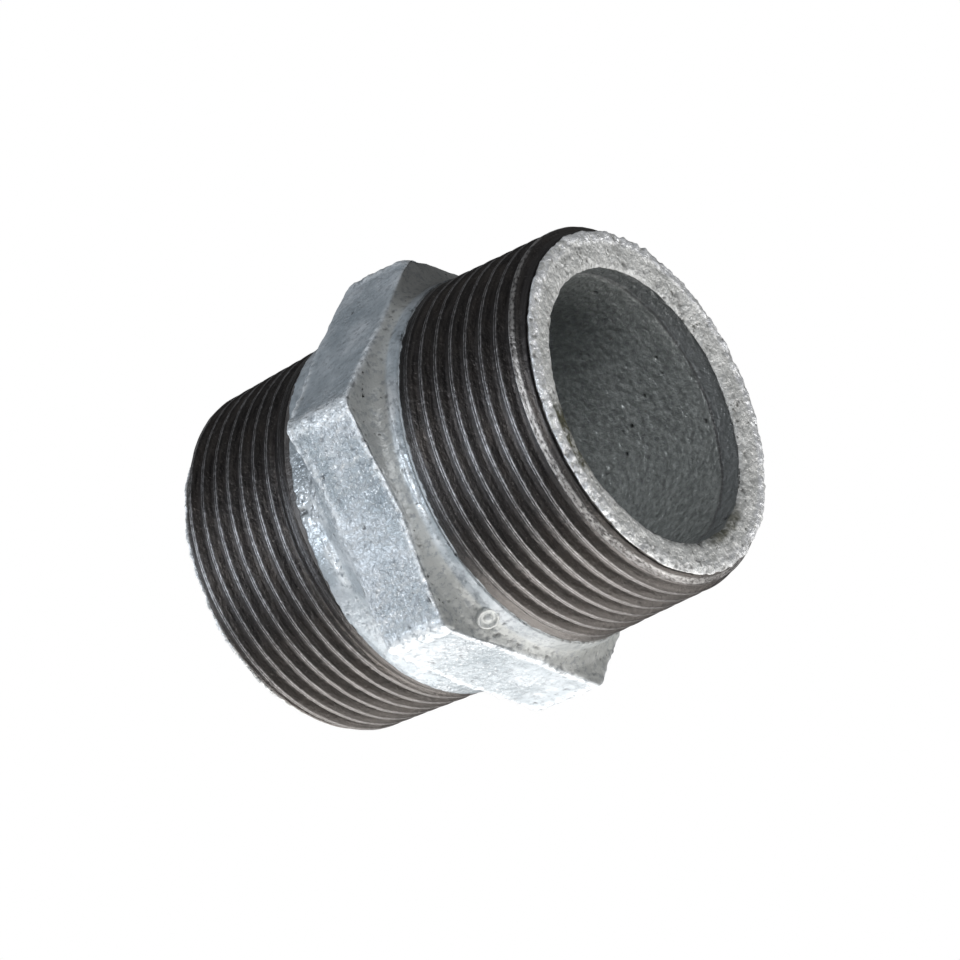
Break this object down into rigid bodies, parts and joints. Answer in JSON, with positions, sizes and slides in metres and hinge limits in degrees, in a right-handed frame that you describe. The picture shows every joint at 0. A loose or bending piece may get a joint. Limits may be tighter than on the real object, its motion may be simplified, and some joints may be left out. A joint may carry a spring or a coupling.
{
  "type": "hexagon pipe nipple",
  "caption": "Short galvanised hexagon nipple: hollow casting with a wrench hexagon between two equal tapered male pipe threads.",
  "frame": {"origin": "middle of the lower end face, on the fitting's axis", "axes": "+Z along the fitting's axis towards the end that the picture shows open; Y across one pair of wrench flats, X through two hexagon corners"},
  "size_m": [0.0584, 0.051, 0.058],
  "materials": {
    "galvanised_casting": "hot-dip galvanised, lumpy and speckled",
    "cut_thread": "bare cut iron, oily",
    "galvanised_bore": "rough cast and galvanised, dull",
    "galvanised_rim": "galvanised, rough and pitted"
  },
  "bodies": {
    "root": {"hex_collar": "galvanised_casting", "upper_neck": "galvanised_casting", "lower_neck": "galvanised_casting", "casting_mark": "galvanised_casting", "upper_thread": "cut_thread", "lower_thread": "cut_thread", "waterway_wall": "galvanised_bore", "upper_end_rim": "galvanised_rim", "lower_end_rim": "galvanised_rim"}
  },
  "joints": []
}
